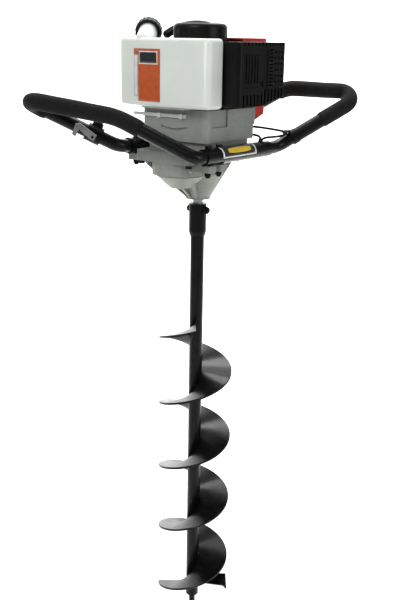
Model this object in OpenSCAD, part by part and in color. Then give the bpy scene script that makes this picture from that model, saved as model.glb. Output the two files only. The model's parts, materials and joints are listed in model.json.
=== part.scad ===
// Earth auger with a petrol engine, a reduction gear case, a looped handlebar and a screw bit.
// The origin is the tip of the bit's point. Z runs up the drilling axis,
// X runs along the fuel tank's face and the tank lies on the -Y side.

/* [Bit] */
// Length of the bit from its point to the top of its collar
bit_length = 940; // [880:5:1000]
// Diameter of the flight
flight_d = 150; // [120:1:180]
// Rise of the flight in one turn
flight_pitch = 143.4; // [125:0.1:160]
// Turns of the flight
flight_turns = 4.25; // [3:0.05:4.5]
// Thickness of the flight plate
flight_t = 5; // [3:0.5:8]
// Outer diameter of the bit's tube
tube_d = 27; // [22:0.5:30]
// Wall of the bit's tube
tube_wall = 3; // [2:0.5:4]
// Outer diameter of the collar
collar_d = 34; // [33:0.5:44]
// Length of the collar's round part
collar_length = 56; // [50:1:70]
// Length of the point below the tube
point_length = 70; // [50:1:80]
// Diameter of the point's shank
point_d = 13; // [10:0.5:18]
// Reach of a cutter along the cut
cutter_w = 40; // [25:1:50]
// Slope of a cutter
cutter_slope = 40; // [25:1:50]
// Diameter of the cross bolt
cross_bolt_d = 8; // [6:0.5:9]

/* [Gears] */
// Diameter of the output shaft
shaft_d = 20; // [18:0.5:22]
// Teeth on the output gear
output_teeth = 60; // [50:1:66]
// Teeth on the layshaft's pinion
lay_pinion_teeth = 12; // [12:1:14]
// Teeth on the layshaft's gear
lay_gear_teeth = 91; // [80:1:95]
// Teeth on the input pinion
input_teeth = 17; // [16:1:20]
// Module of the input pair
input_module = 1; // [0.9:0.05:1.1]
// Width of the output gear
output_gear_w = 14; // [10:1:18]
// Width of the layshaft's gear
lay_gear_w = 10; // [8:1:14]
// Wall of the gear case
case_wall = 5; // [4:0.5:8]

/* [Engine] */
// Bore of the cylinder
bore_d = 44; // [40:0.5:46]
// Stroke of the piston
stroke = 34; // [28:1:36]
// Length of the connecting rod between its eyes
rod_length = 66; // [64:1:70]
// Diameter of the crankshaft's journals
journal_d = 15; // [14:0.5:16]
// Width of the clutch housing across its flats
housing_w = 154; // [148:1:160]
// Corner radius of the clutch housing
housing_r = 12; // [10:1:30]
// Height of the clutch housing
housing_h = 44; // [44:1:50]
// Inner diameter of the clutch drum
drum_d = 76; // [70:1:80]
// Diameter of the flywheel
flywheel_d = 100; // [90:1:102]
// Outer diameter of the fan housing
fan_housing_d = 114; // [110:1:116]
// Diameter of the recoil starter
starter_d = 100; // [96:1:108]
// Height of the recoil starter
starter_h = 38; // [36:1:44]
// Cooling fins on the cylinder
fins = 6; // [4:1:7]

/* [Tank and covers] */
// Length of the fuel tank
tank_l = 210; // [195:1:220]
// Depth of the fuel tank
tank_depth = 50; // [40:1:50]
// Height of the fuel tank
tank_h = 120; // [110:1:124]
// Corner radius of the fuel tank
tank_r = 12; // [8:1:18]
// Wall of the fuel tank
tank_wall = 2.5; // [2:0.5:4]
// Diameter of the filler neck
neck_d = 38; // [34:1:42]
// Diameter of the fuel cap
cap_d = 48; // [46:1:54]
// Distance of the muffler guard's outer face from the drilling axis
guard_x = 131; // [126:1:140]
// Length of the muffler guard
guard_l = 146; // [138:1:150]
// Height of the muffler guard
guard_h = 111; // [106:1:116]
// Wall of the muffler guard
guard_t = 3; // [2.5:0.5:4]

/* [Handlebar] */
// Outer diameter of the handlebar tube
bar_d = 25; // [22:0.5:27]
// Wall of the handlebar tube
bar_wall = 2; // [1.5:0.5:3]
// Outer diameter of the joining sleeves
sleeve_d = 30; // [29:0.5:33]
// Length of a joining sleeve
sleeve_l = 204; // [190:1:206]
// Outer diameter of the foam grips
grip_d = 31; // [30:0.5:36]
// Distance of each sleeve from the drilling axis
sleeve_x = 86; // [85:0.5:90]

/* [Hidden] */
$fn = 64;

// Clearances
slip = 0.05;
seat = 0.03;
gap = 0.3;
eps = 0.01;
bend_swell = 0.12;
bend_lap = 1;

// Heights up the drilling axis
zc = bit_length;
hub_z = zc + 10;
seal_h = 7;
bearing_a_z = hub_z + 9;
bearing_w = 12;
bearing_b_z = bearing_a_z + 27;
floor_z = bearing_b_z + bearing_w + 3;
output_gear_z = floor_z + 3;
lay_gear_z = output_gear_z + output_gear_w + 4;
cover_z = lay_gear_z + lay_gear_w + 4;
cover_t = 12;
housing_z = cover_z + cover_t;
crankcase_z = housing_z + housing_h;
crank_z = crankcase_z + 48;
fan_z = crank_z + 36;
fan_h = 60;
starter_z = fan_z + fan_h;
tank_z = zc + 187;
guard_z = zc + 191;
bar_z = zc + 104;
back_lift = 8;

// Bit
tube_r = tube_d / 2;
shaft_r = shaft_d / 2;
collar_r = collar_d / 2;
flight_r = flight_d / 2;
flight_z = point_length + 18;
flight_angle = 218;
shaft_depth = 44;
collar_seat = 8;
cross_z = zc - 12;
bolt_r = cross_bolt_d / 2;

// Gears
lay_y = -input_module * (input_teeth + lay_gear_teeth) / 2;
output_module = -2 * lay_y / (output_teeth + lay_pinion_teeth);
addendum = 0.8;
dedendum = 1.1;
backlash = 0.1;
pressure = 20;
output_bearing_r = 21;
lay_bearing_r = 14;
lay_bearing_w = 8;
lay_shaft_r = 6;
lay_seat_r = 8;
input_bearing_r = 17.5;
input_bearing_w = 11;
input_shaft_r = 7.5;
output_tip_r = output_module * (output_teeth / 2 + addendum);
lay_tip_r = input_module * (lay_gear_teeth / 2 + addendum);
cavity_r = max(output_tip_r, lay_tip_r) + 2;
case_r = cavity_r + case_wall;
flange_h = 8;
rib_t = 6;
case_bolt_r = 4;
case_boss_r = 9;
case_bolt_xy = [
    [56, lay_y - 46], [-56, lay_y - 46], [58, 44], [-58, 44], [61, lay_y + 28], [-61, lay_y + 28]
];
lug_y = [-82, -50];
lug_h = 12;
lug_w = 20;
lug_x0 = 40;
lug_x1 = sleeve_x + 11;
handle_bolt_r = 4;

// Clutch
drum_r = drum_d / 2;
drum_t = 3;
drum_z = housing_z + 4;
drum_h = 28;
clutch_z = drum_z + 8;
clutch_h = 16;
shoe_gap = 1.5;
shoe_r = drum_r - shoe_gap;
shoe_inner_r = 22;
shoe_pivot_r = 29;
shoe_pin_r = 2.5;

// Engine
journal_r = journal_d / 2;
bore_r = bore_d / 2;
crank_r = stroke / 2;
web_t = 6.6;
web_r = 31;
rod_t = 10;
slot_h = rod_t + 1.2;
chamber_r = 34;
chamber_h = slot_h / 2 + web_t + 0.8;
crank_bearing_r = 17.5;
crank_bearing_w = 11;
crank_bearing_z = chamber_h + 2;
barrel_r = 42;
pad_y = 44;
piston_y = crank_r + rod_length;
crown_h = 20;
skirt_h = 16;
head_y = piston_y + crown_h + 2;
cylinder_wall = 5;
fin_r = 40;
wrist_r = 5;
crank_pin_r = 6;
port_z = crank_z;
port_y = head_y - 34;
port_x = 52;
port_r = 7;
port_t = 6;
fin_y0 = pad_y + 15;
plug_tilt = 75;
plug_seat = 24;
plug_start = 17;
plug_r = 7;
insulator_r = 5;
carb_x = -90;
carb_w = 40;
choke_x = -76;
choke_lean = 17.5;
choke_pin_r = 2.5;
shroud_t = 2.5;
shroud_x = 62;
shroud_y0 = pad_y + 4;
shroud_y1 = 134;
shroud_z0 = zc + 165;
shroud_z1 = zc + 309;
tail_y = [housing_w / 2 + 1, 82];
tail_z = [crankcase_z, zc + 171];

// Covers
tank_x0 = -110;
tank_y1 = -59;
tank_y0 = tank_y1 - tank_depth;
neck_x = -59;
neck_y = -88;
neck_sink = 7;
neck_turn = 123;
neck_tilt = 70;
neck_l = 57;
guard_y0 = -55;
muffler_x0 = 72;
muffler_x1 = guard_x - 12;
muffler_y = [-36, 44];
muffler_z = [guard_z + 5, guard_z + 91];
guard_screw = [21, guard_z + 39];
pull_angle = 128;
starter_t = 3;
reel_r = 27;
rope_r = 1.75;
post_r = 8;
reel_h = 14;
rope_z = starter_h - 12;
reel_z = rope_z - reel_h / 2;
spring_h = 6;
spring_r = 20.5;
handle_y = 62;
handle_tilt = 12;

// Handlebar centre lines, with the height counted from the sleeves' axis
bar_r = bar_d / 2;
sleeve_r = sleeve_d / 2;
sleeve_y0 = -98;
grip_r = grip_d / 2;
right_path = [
    [sleeve_x, 0.5, 0], [sleeve_x, 140, 0], [187, 250, 88], [166, 264, 106],
    [62, 204, 110], [-sleeve_x, 118, back_lift], [-sleeve_x, 0.5, back_lift]
];
right_bends = [0, 40, 19, 19, 60, 22, 0];
left_path = [
    [-sleeve_x, -0.5, back_lift], [-sleeve_x, -128, back_lift], [-196, -235, 82], [-163, -277, 95],
    [-40, -184, 68], [sleeve_x, -118, 0], [sleeve_x, -0.5, 0]
];
left_bends = [0, 40, 26, 26, 140, 22, 0];
right_grip_ends = [0.58, 0.1, 4];
left_grip_ends = [0.85, 0.3, 4];
collar_share = 0.26;
clip_share = 0.19;
throttle_share = 0.22;
throttle_r = bar_r + 4;
throttle_l = 30;
pivot_y = -4;
pivot_z = 16;
pivot_r = 2.5;
trigger_w = 7;
cable_hole_y = 80;
cable_hole_r = 8;

// Control cables, as points chosen along their route from the engine into the front sleeve, above the collar
throttle_route = [
    [-72, 78, 179], [-73, 83, 163], [-66, 91, 148], [-20, 98, 144], [30, 99, 144], [70, 97, 144],
    [92, 104, 142], [104, 117, 139], [109, 128, 136], [107, 135, 131], [102, 132, 127.5], [95, 116, 126],
    [89, 98, 125.5], [86.5, 88, 123], [86, 83.5, 118], [86, 83, 112]
];
switch_route = [
    [45, 80.5, 131], [52, 82, 131], [64, 84.5, 130.5], [76, 86, 129], [83.5, 84, 126], [86, 79, 121.5],
    [86, 77, 117], [86, 77, 112]
];
cable_r = 2.4;

// Vectors
function unit(v) = v / norm(v);
function lerp(a, b, t) = a + (b - a) * t;
function raised(path) = [for (p = path) [p[0], p[1], p[2] + bar_z]];

// Frames that carry z onto a direction
function side_of(d) = abs(d[2]) > 0.95 ? unit(cross(d, [1, 0, 0])) : unit(cross([0, 0, 1], d));
function frame(o, x, y, z) = [
    [x[0], y[0], z[0], o[0]], [x[1], y[1], z[1], o[1]], [x[2], y[2], z[2], o[2]], [0, 0, 0, 1]
];
function along(o, d) = let (z = unit(d), x = side_of(z)) frame(o, x, cross(z, x), z);

// Bend at one point of a path: turn angle, tangent length and unit directions
function turn(p, i) = acos(unit(p[i] - p[i - 1]) * unit(p[i + 1] - p[i]));
function cut(p, b, i) = (i == 0 || i == len(p) - 1) ? 0 : b[i] * tan(turn(p, i) / 2);

// Round rod along a path with rounded bends: its straight runs lap into bends that are a hair thicker
module swept_rod(p, b, r, swell, over = 0) {
    for (i = [0 : len(p) - 2]) {
        d = unit(p[i + 1] - p[i]);
        back = i == 0 ? over : bend_lap;
        ahead = i == len(p) - 2 ? over : bend_lap;
        l = norm(p[i + 1] - p[i]) - cut(p, b, i) - cut(p, b, i + 1) + back + ahead;
        multmatrix(along(p[i] + d * (cut(p, b, i) - back), d)) cylinder(r = r, h = l);
    }
    for (i = [1 : len(p) - 2]) {
        d = unit(p[i] - p[i - 1]);
        e = unit(p[i + 1] - p[i]);
        n = unit(e - d * (d * e));
        c = p[i] - d * cut(p, b, i) + n * b[i];
        multmatrix(frame(c, -n, d, cross(-n, d)))
            rotate_extrude(angle = turn(p, i)) translate([b[i], 0]) circle(r = r + swell);
    }
}

module swept_bar(p, b, ro, ri) {
    difference() {
        swept_rod(p, b, ro, bend_swell);
        swept_rod(p, b, ri, -bend_swell, 1);
    }
}

module ring(ro, ri, h) {
    difference() {
        cylinder(r = ro, h = h);
        if (ri > 0) translate([0, 0, -1]) cylinder(r = ri, h = h + 2);
    }
}

// Box with rounded upright edges, from its lower corner
module rounded_box(size, r) {
    linear_extrude(size[2]) rounded_square([size[0], size[1]], r);
}

module rounded_square(size, r) {
    translate([r, 0]) square([size[0] - 2 * r, size[1]]);
    translate([0, r]) square([size[0], size[1] - 2 * r]);
    for (x = [r, size[0] - r], y = [r, size[1] - r])
        translate([x, y]) circle(r = r);
}

// Hexagon head or nut across corners
module hex(r, h) {
    cylinder(r = r, h = h, $fn = 6);
}

// Gear outline with straight-sided teeth inside the involute
function involute(a) = tan(a) * 180 / PI - a;
function half_tooth(teeth, m, r) =
    let (p = m * teeth / 2, base = p * cos(pressure))
    90 / teeth * (1 - backlash) + involute(pressure) - (r > base ? involute(acos(base / r)) : 0);
function polar(r, a) = [r * cos(a), r * sin(a)];
function gear_outline(teeth, m) =
    let (root = m * (teeth / 2 - dedendum), tip = m * (teeth / 2 + addendum))
    let (wide = half_tooth(teeth, m, root), thin = half_tooth(teeth, m, tip))
    [for (i = [0 : teeth - 1], k = [0 : 3])
        let (a = 360 * i / teeth)
        polar(k == 0 || k == 3 ? root : tip, a + [-wide, -thin, thin, wide][k])];

module gear(teeth, m, w) {
    linear_extrude(w) polygon(gear_outline(teeth, m));
}

// Swept cord of a given radius along smoothed points
function spline(p, i, t) =
    let (a = p[max(i - 1, 0)], b = p[i], c = p[i + 1], d = p[min(i + 2, len(p) - 1)])
    0.5 * (2 * b + (c - a) * t + (2 * a - 5 * b + 4 * c - d) * t * t + (3 * b - a - 3 * c + d) * t * t * t);
function smooth(p, steps) = concat(
    [for (i = [0 : len(p) - 2], k = [0 : steps - 1]) spline(p, i, k / steps)], [p[len(p) - 1]]);
function tangent(p, i) = unit(p[min(i + 1, len(p) - 1)] - p[max(i - 1, 0)]);
module cord(p, r, sides) {
    n = len(p);
    rings = [for (i = [0 : n - 1], k = [0 : sides - 1])
        let (d = tangent(p, i), x = side_of(d), y = cross(d, x), a = 360 * k / sides)
        p[i] + r * (x * cos(a) + y * sin(a))];
    walls = [for (i = [0 : n - 2], k = [0 : sides - 1])
        let (a = i * sides + k, b = i * sides + (k + 1) % sides)
        each [[a, a + sides, b], [b, a + sides, b + sides]]];
    ends = [for (k = [1 : sides - 2])
        each [[0, k, k + 1], [(n - 1) * sides, (n - 1) * sides + k + 1, (n - 1) * sides + k]]];
    polyhedron(rings, concat(walls, ends));
}

// Bit

module bit_tube() {
    color("#1b1b1c")
        translate([0, 0, point_length])
            ring(tube_r, tube_r - tube_wall, zc - collar_length + collar_seat - 0.5 - point_length);
}

module bit_collar() {
    taper = 8;
    base = zc - collar_length;
    color("#2a2b2c") difference() {
        union() {
            translate([0, 0, base]) cylinder(r = collar_r, h = collar_length);
            translate([0, 0, base - taper]) cylinder(r1 = tube_r + 1.5, r2 = collar_r, h = taper + eps);
        }
        translate([0, 0, base - taper - 1]) cylinder(r = tube_r + seat, h = taper + 1 + collar_seat);
        translate([0, 0, zc - shaft_depth - 2]) cylinder(r = shaft_r + seat, h = shaft_depth + 3);
        cross_hole();
    }
}

module cross_hole() {
    translate([-collar_r - 1, 0, cross_z]) rotate([0, 90, 0]) cylinder(r = bolt_r + seat, h = collar_d + 2);
}

module flight() {
    per_turn = 40;
    n = round(flight_turns * per_turn);
    inner = tube_r + 0.08;
    points = [for (i = [0 : n], k = [0 : 3])
        let (a = flight_angle + 360 * i / per_turn, z = flight_z + flight_pitch * i / per_turn)
        let (r = (k == 0 || k == 3) ? inner : flight_r)
        [r * cos(a), r * sin(a), z + (k < 2 ? 0 : flight_t)]];
    strips = [for (i = [0 : n - 1])
        let (a = 4 * i, b = 4 * i + 4)
        each [
            [a, a + 1, b + 1], [a, b + 1, b], [a + 3, b + 3, b + 2], [a + 3, b + 2, a + 2],
            [a + 1, a + 2, b + 2], [a + 1, b + 2, b + 1], [b, b + 3, a + 3], [b, a + 3, a]
        ]];
    e = 4 * n;
    caps = [[0, 3, 2], [0, 2, 1], [e + 1, e + 2, e + 3], [e + 1, e + 3, e]];
    color("#19191a") polyhedron(points, concat(strips, caps));
}

module cutters() {
    t = 6;
    inner = tube_r + gap;
    color("#202122")
        for (k = [0, 1])
            rotate([0, 0, flight_angle + 180 * k])
                translate([0, -0.5, flight_z + (k == 0 ? flight_t - t : 30)])
                    rotate([cutter_slope, 0, 0])
                        linear_extrude(t)
                            polygon([
                                [inner, -t], [flight_r - 2, -t], [flight_r, -cutter_w],
                                [flight_r - 8, -cutter_w + 8], [inner, -cutter_w + 14]
                            ]);
}

module pilot_point() {
    tip = 36;
    plug = 16;
    color("#26272a") {
        cylinder(r1 = 0.5, r2 = point_d / 2, h = tip);
        translate([0, 0, tip]) cylinder(r = point_d / 2, h = point_length - tip + eps);
        translate([0, 0, point_length]) cylinder(r = tube_r - tube_wall - slip, h = plug);
        translate([0, 0, point_length - 6]) cylinder(r = tube_r, h = 6);
    }
}

module cross_bolt() {
    head_r = 7.5;
    head_h = 5.5;
    nut_h = 7;
    color("#b9bcbf") {
        translate([-collar_r - seat - head_h, 0, cross_z]) rotate([0, 90, 0]) hex(head_r, head_h);
        translate([-collar_r - seat - 1, 0, cross_z]) rotate([0, 90, 0])
            cylinder(r = bolt_r, h = collar_d + nut_h + 4);
        translate([collar_r + seat, 0, cross_z]) rotate([0, 90, 0]) difference() {
            hex(head_r, nut_h);
            translate([0, 0, -1]) cylinder(r = bolt_r + seat, h = nut_h + 2);
        }
    }
}

// Gear case and its train

module output_shaft() {
    color("#c3c6c8") difference() {
        translate([0, 0, zc - shaft_depth])
            cylinder(r = shaft_r, h = output_gear_z + output_gear_w + 1 - zc + shaft_depth);
        cross_hole();
    }
}

module output_gear() {
    color("#8e9294") translate([0, 0, output_gear_z]) difference() {
        rotate([0, 0, 270]) gear(output_teeth, output_module, output_gear_w);
        translate([0, 0, -1]) cylinder(r = shaft_r + seat, h = output_gear_w + 2);
    }
}

module layshaft() {
    color("#a5a9ab") translate([0, lay_y, 0]) {
        translate([0, 0, floor_z - lay_bearing_w - 2])
            cylinder(r = lay_shaft_r, h = cover_z + lay_bearing_w - floor_z + lay_bearing_w + 1);
        translate([0, 0, output_gear_z - 1])
            rotate([0, 0, 90 + 180 / lay_pinion_teeth])
                gear(lay_pinion_teeth, output_module, output_gear_w + 2);
        translate([0, 0, output_gear_z + output_gear_w + 1 - eps])
            cylinder(r = lay_seat_r, h = cover_z - 1 - output_gear_z - output_gear_w - 1);
    }
}

module layshaft_gear() {
    color("#8e9294") translate([0, lay_y, lay_gear_z]) difference() {
        rotate([0, 0, 90]) gear(lay_gear_teeth, input_module, lay_gear_w);
        translate([0, 0, -1]) cylinder(r = lay_seat_r + seat, h = lay_gear_w + 2);
    }
}

module input_pinion() {
    color("#a5a9ab") {
        translate([0, 0, lay_gear_z - 1])
            rotate([0, 0, 270 + 180 / input_teeth])
                gear(input_teeth, input_module, lay_gear_w + 2);
        translate([0, 0, lay_gear_z + lay_gear_w + 0.5])
            cylinder(r = input_shaft_r, h = drum_z + drum_t - lay_gear_z - lay_gear_w - 0.5);
    }
}

module bearing(inner, outer, w) {
    color("#d2d4d6") ring(outer - seat, inner + slip, w);
}

module gear_bearings() {
    for (z = [bearing_a_z, bearing_b_z])
        translate([0, 0, z]) bearing(shaft_r, output_bearing_r, bearing_w);
    for (z = [floor_z - lay_bearing_w, cover_z + 0.5])
        translate([0, lay_y, z]) bearing(lay_shaft_r, lay_bearing_r, lay_bearing_w);
    translate([0, 0, cover_z + 0.5]) bearing(input_shaft_r, input_bearing_r, input_bearing_w);
}

module output_seal() {
    color("#3a2c26") translate([0, 0, hub_z + 1]) ring(output_bearing_r - 3 - seat, shaft_r + slip, seal_h);
}

module case_plan() {
    circle(r = case_r);
    translate([0, lay_y]) circle(r = case_r);
    translate([-case_r, lay_y]) square([2 * case_r, -lay_y]);
}

module cavity_plan() {
    circle(r = cavity_r);
    translate([0, lay_y]) circle(r = cavity_r);
    translate([-cavity_r, lay_y]) square([2 * cavity_r, -lay_y]);
}

// Rim of the case with its corner bosses and the arms under the handlebar sleeves
module case_rim(z, h) {
    translate([0, 0, z]) linear_extrude(h) {
        case_plan();
        for (p = case_bolt_xy) translate(p) circle(r = case_boss_r);
        for (y = [case_bolt_xy[0][1], case_bolt_xy[2][1]])
            translate([-case_bolt_xy[0][0], y - case_boss_r])
                square([2 * case_bolt_xy[0][0], 2 * case_boss_r]);
        translate([-case_bolt_xy[0][0] - case_boss_r, case_bolt_xy[0][1]])
            square([2 * (case_bolt_xy[0][0] + case_boss_r), case_bolt_xy[2][1] - case_bolt_xy[0][1]]);
    }
}

module case_bolt_holes(r, z, h) {
    for (p = case_bolt_xy) translate([p[0], p[1], z]) cylinder(r = r, h = h);
}

function side_lift(s) = s < 0 ? back_lift : 0;
function lug_z(s) = bar_z + side_lift(s) - sleeve_r - gap - lug_h;

// Upright rib from the hub out to a given radius under the flange
module case_rib(angle, reach) {
    foot = output_bearing_r + 2;
    top = cover_z - flange_h + 1;
    rotate([0, 0, angle]) translate([0, rib_t / 2, 0]) rotate([90, 0, 0]) linear_extrude(rib_t)
        polygon([[0, hub_z + 2], [foot, hub_z + 2], [reach, top - 10], [reach, top], [0, top]]);
}

module gear_case() {
    rim_z = floor_z + 2;
    cover_x = case_bolt_xy[4][0] + case_boss_r + gap;
    corner = norm(case_bolt_xy[0]);
    front_angle = atan2(case_bolt_xy[0][1], case_bolt_xy[0][0]);
    back_angle = atan2(case_bolt_xy[2][1], case_bolt_xy[2][0]);
    color("#8d9088") difference() {
        union() {
            translate([0, 0, hub_z + 3])
                cylinder(r1 = output_bearing_r + 2, r2 = case_r - 1, h = rim_z - hub_z);
            translate([0, 0, hub_z]) cylinder(r = output_bearing_r + 3, h = floor_z - hub_z);
            translate([0, lay_y, floor_z - 24])
                cylinder(r1 = lay_bearing_r + 6, r2 = case_r - 1, h = rim_z - floor_z + 27);
            translate([0, 0, rim_z]) linear_extrude(cover_z - rim_z) case_plan();
            case_rim(cover_z - flange_h, flange_h);
            case_rib(front_angle, corner - 10);
            case_rib(180 - front_angle, corner - 10);
            case_rib(270, case_r - lay_y - 5);
            case_rib(back_angle, norm(case_bolt_xy[2]) - 10);
            case_rib(180 - back_angle, norm(case_bolt_xy[2]) - 10);
            for (s = [-1, 1], y = lug_y)
                translate([s > 0 ? lug_x0 : -lug_x1, y - lug_w / 2, lug_z(s)])
                    cube([lug_x1 - lug_x0, lug_w, lug_h]);
        }
        translate([0, 0, floor_z]) linear_extrude(cover_z) cavity_plan();
        translate([0, 0, bearing_a_z - 1]) cylinder(r = output_bearing_r, h = floor_z - bearing_a_z + 2);
        translate([0, 0, hub_z - 1]) cylinder(r = output_bearing_r - 3, h = bearing_a_z - hub_z + 1);
        translate([0, lay_y, floor_z - lay_bearing_w - 2.5])
            cylinder(r = lay_bearing_r, h = lay_bearing_w + 4);
        case_bolt_holes(case_bolt_r + seat, cover_z - flange_h - 20, flange_h + 30);
        translate([-cover_x, case_bolt_xy[0][1] - 20, cover_z])
            cube([2 * cover_x, case_bolt_xy[2][1] + 160, lug_h]);
        for (p = case_bolt_xy)
            translate([p[0], p[1], cover_z - flange_h - 40]) cylinder(r = case_boss_r, h = 40);
        for (s = [-1, 1], y = lug_y)
            translate([s * sleeve_x, y, lug_z(s) - 1]) cylinder(r = handle_bolt_r + seat, h = lug_h + 2);
    }
}

module gear_case_cover() {
    color("#8d9088") difference() {
        case_rim(cover_z, cover_t);
        translate([0, 0, cover_z - 1]) cylinder(r = input_bearing_r, h = input_bearing_w + 1.5);
        translate([0, 0, cover_z]) cylinder(r = input_shaft_r + 2, h = cover_t + 1);
        translate([0, lay_y, cover_z - 1]) cylinder(r = lay_bearing_r, h = lay_bearing_w + 1.6);
        case_bolt_holes(case_bolt_r + seat, cover_z - 1, cover_t + 2);
    }
}

module gear_case_bolts() {
    head = 6;
    under = cover_z - flange_h;
    color("#17181a")
        for (p = case_bolt_xy) translate([p[0], p[1], 0]) {
            translate([0, 0, under - head - seat]) hex(6.5, head);
            translate([0, 0, under - 1]) cylinder(r = case_bolt_r, h = flange_h + cover_t);
        }
}

// Clutch

module clutch_drum() {
    color("#7d8082") translate([0, 0, drum_z]) difference() {
        cylinder(r = drum_r + drum_t, h = drum_h);
        translate([0, 0, drum_t]) cylinder(r = drum_r, h = drum_h);
        translate([0, 0, -1]) cylinder(r = input_shaft_r + seat, h = drum_t + 2);
    }
}

module clutch_hub() {
    arm_w = 12;
    color("#5d6062") translate([0, 0, clutch_z]) difference() {
        union() {
            cylinder(r = 17, h = clutch_h);
            for (a = [0, 180]) rotate([0, 0, a]) {
                translate([0, -arm_w / 2, 0]) cube([shoe_pivot_r, arm_w, 4]);
                translate([shoe_pivot_r, 0, 0]) cylinder(r = arm_w / 2, h = 4);
                translate([shoe_pivot_r, 0, 3.9]) cylinder(r = shoe_pin_r, h = clutch_h - 4);
            }
        }
        translate([0, 0, -1]) cylinder(r = journal_r + seat, h = clutch_h + 2);
    }
}

// Shoe on a pin at angle 0 that reaches round towards the other pin
module clutch_shoe(angle) {
    color("#8a6f4d") rotate([0, 0, angle]) translate([0, 0, clutch_z + 4 + gap])
        difference() {
            intersection() {
                ring(shoe_r, shoe_inner_r, clutch_h - 4 - gap);
                translate([-60, -8, -1]) cube([120, 60, clutch_h + 2]);
                rotate([0, 0, -13]) translate([-60, 0, -1]) cube([120, 60, clutch_h + 2]);
                rotate([0, 0, -33]) translate([-60, 0, -1]) cube([120, 60, clutch_h + 2]);
            }
            translate([shoe_pivot_r, 0, -1]) cylinder(r = shoe_pin_r + slip, h = clutch_h + 2);
        }
}

module clutch_shoe_a() { clutch_shoe(0); }
module clutch_shoe_b() { clutch_shoe(180); }

module clutch_housing() {
    waist_h = 18;
    waist_w = 2 * (sleeve_x - sleeve_r - 3);
    color("#8d9088") difference() {
        union() {
            translate([-waist_w / 2, -waist_w / 2, housing_z])
                rounded_box([waist_w, waist_w, waist_h + eps], housing_r - 6);
            translate([-housing_w / 2, -housing_w / 2, housing_z + waist_h])
                rounded_box([housing_w, housing_w, housing_h - waist_h], housing_r);
        }
        translate([0, 0, housing_z - 1])
            cylinder(r = drum_r + drum_t + 4, h = drum_z - housing_z + drum_h + 6);
        translate([0, 0, housing_z]) cylinder(r = journal_r + 4, h = housing_h + 1);
        case_bolt_holes(case_bolt_r + 2, housing_z - 1, 8);
        front_slot();
    }
}

// Shallow curved slot across the front, under the joint with the crankcase
module front_slot() {
    r = 104;
    reach = 32;
    deep = 3;
    translate([2, -housing_w / 2 + deep, crankcase_z + r - 7]) rotate([90, 0, 0]) intersection() {
        ring(r, r - 4, deep + 2);
        translate([-reach, -r - 1, -1]) cube([2 * reach, r, deep + 4]);
    }
}

// Engine

module crankcase_lower() {
    t = 5;
    w = housing_w;
    l = housing_w / 2 + pad_y - 8;
    h = crank_z - crankcase_z;
    skirt = tank_z - 4 - crankcase_z;
    recess = [3, 45, 40];
    column = 12;
    color("#8d9088") difference() {
        union() {
            difference() {
                translate([-w / 2, -w / 2, crankcase_z]) rounded_box([w, l, skirt], housing_r);
                translate([-w / 2 + t, -w / 2 + t, crankcase_z + t])
                    rounded_box([w - 2 * t, l - 2 * t, h], housing_r - t);
            }
            translate([0, 0, crankcase_z]) cylinder(r = barrel_r, h = h);
            translate([-32, 0, crankcase_z + 8]) cube([64, pad_y, h - 8]);
            translate([w / 2 - t, 0, crankcase_z]) cube([t, w / 2 - column / 2, skirt]);
            translate([w / 2 - column, w / 2 - column, crankcase_z])
                rounded_box([column, column, skirt], column / 2 - 1);
        }
        translate([0, 0, crank_z - chamber_h]) cylinder(r = chamber_r, h = chamber_h + 1);
        translate([0, 0, crank_z - crank_bearing_z - crank_bearing_w - 6])
            cylinder(r = crank_bearing_r, h = crank_bearing_w + 6);
        translate([0, 0, crankcase_z - 1]) cylinder(r = journal_r + 2.5, h = h);
        translate([0, 0, crank_z]) rotate([-90, 0, 0]) cylinder(r = bore_r + 2, h = pad_y + 20);
        translate([w / 2 - recess[0], -w / 2 + 18, crankcase_z])
            cube([recess[0] + 1, recess[1], recess[2]]);
    }
}

module crankcase_upper() {
    h = fan_z - crank_z;
    top = 6;
    color("#8d9088") difference() {
        union() {
            translate([0, 0, crank_z]) cylinder(r = barrel_r, h = h);
            translate([0, 0, crank_z + h - top]) cylinder(r = fan_housing_d / 2, h = top);
            translate([-32, 0, crank_z]) cube([64, pad_y, 30]);
        }
        translate([0, 0, crank_z - 1]) cylinder(r = chamber_r, h = chamber_h + 1);
        translate([0, 0, crank_z + crank_bearing_z]) cylinder(r = crank_bearing_r, h = crank_bearing_w + 4);
        translate([0, 0, crank_z]) cylinder(r = journal_r + 2.5, h = h + 1);
        translate([0, 0, crank_z]) rotate([-90, 0, 0]) cylinder(r = bore_r + 2, h = pad_y + 20);
    }
}

module crank_bearings() {
    for (z = [crank_z - crank_bearing_z - crank_bearing_w, crank_z + crank_bearing_z])
        translate([0, 0, z]) bearing(journal_r, crank_bearing_r, crank_bearing_w);
}

module crankshaft() {
    color("#b4b7b9") {
        translate([0, 0, clutch_z - 1]) cylinder(r = journal_r, h = crank_z - slot_h / 2 - clutch_z + 1);
        translate([0, 0, crank_z - slot_h / 2 - web_t]) cylinder(r = web_r, h = web_t);
        translate([0, 0, crank_z + slot_h / 2]) cylinder(r = web_r, h = web_t);
        translate([0, 0, crank_z + slot_h / 2])
            cylinder(r = journal_r, h = fan_z + 42 - crank_z - slot_h / 2);
    }
}

module crank_pin() {
    color("#d5d7d9") translate([0, crank_r, crank_z - rod_t / 2]) cylinder(r = crank_pin_r, h = rod_t);
}

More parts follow.
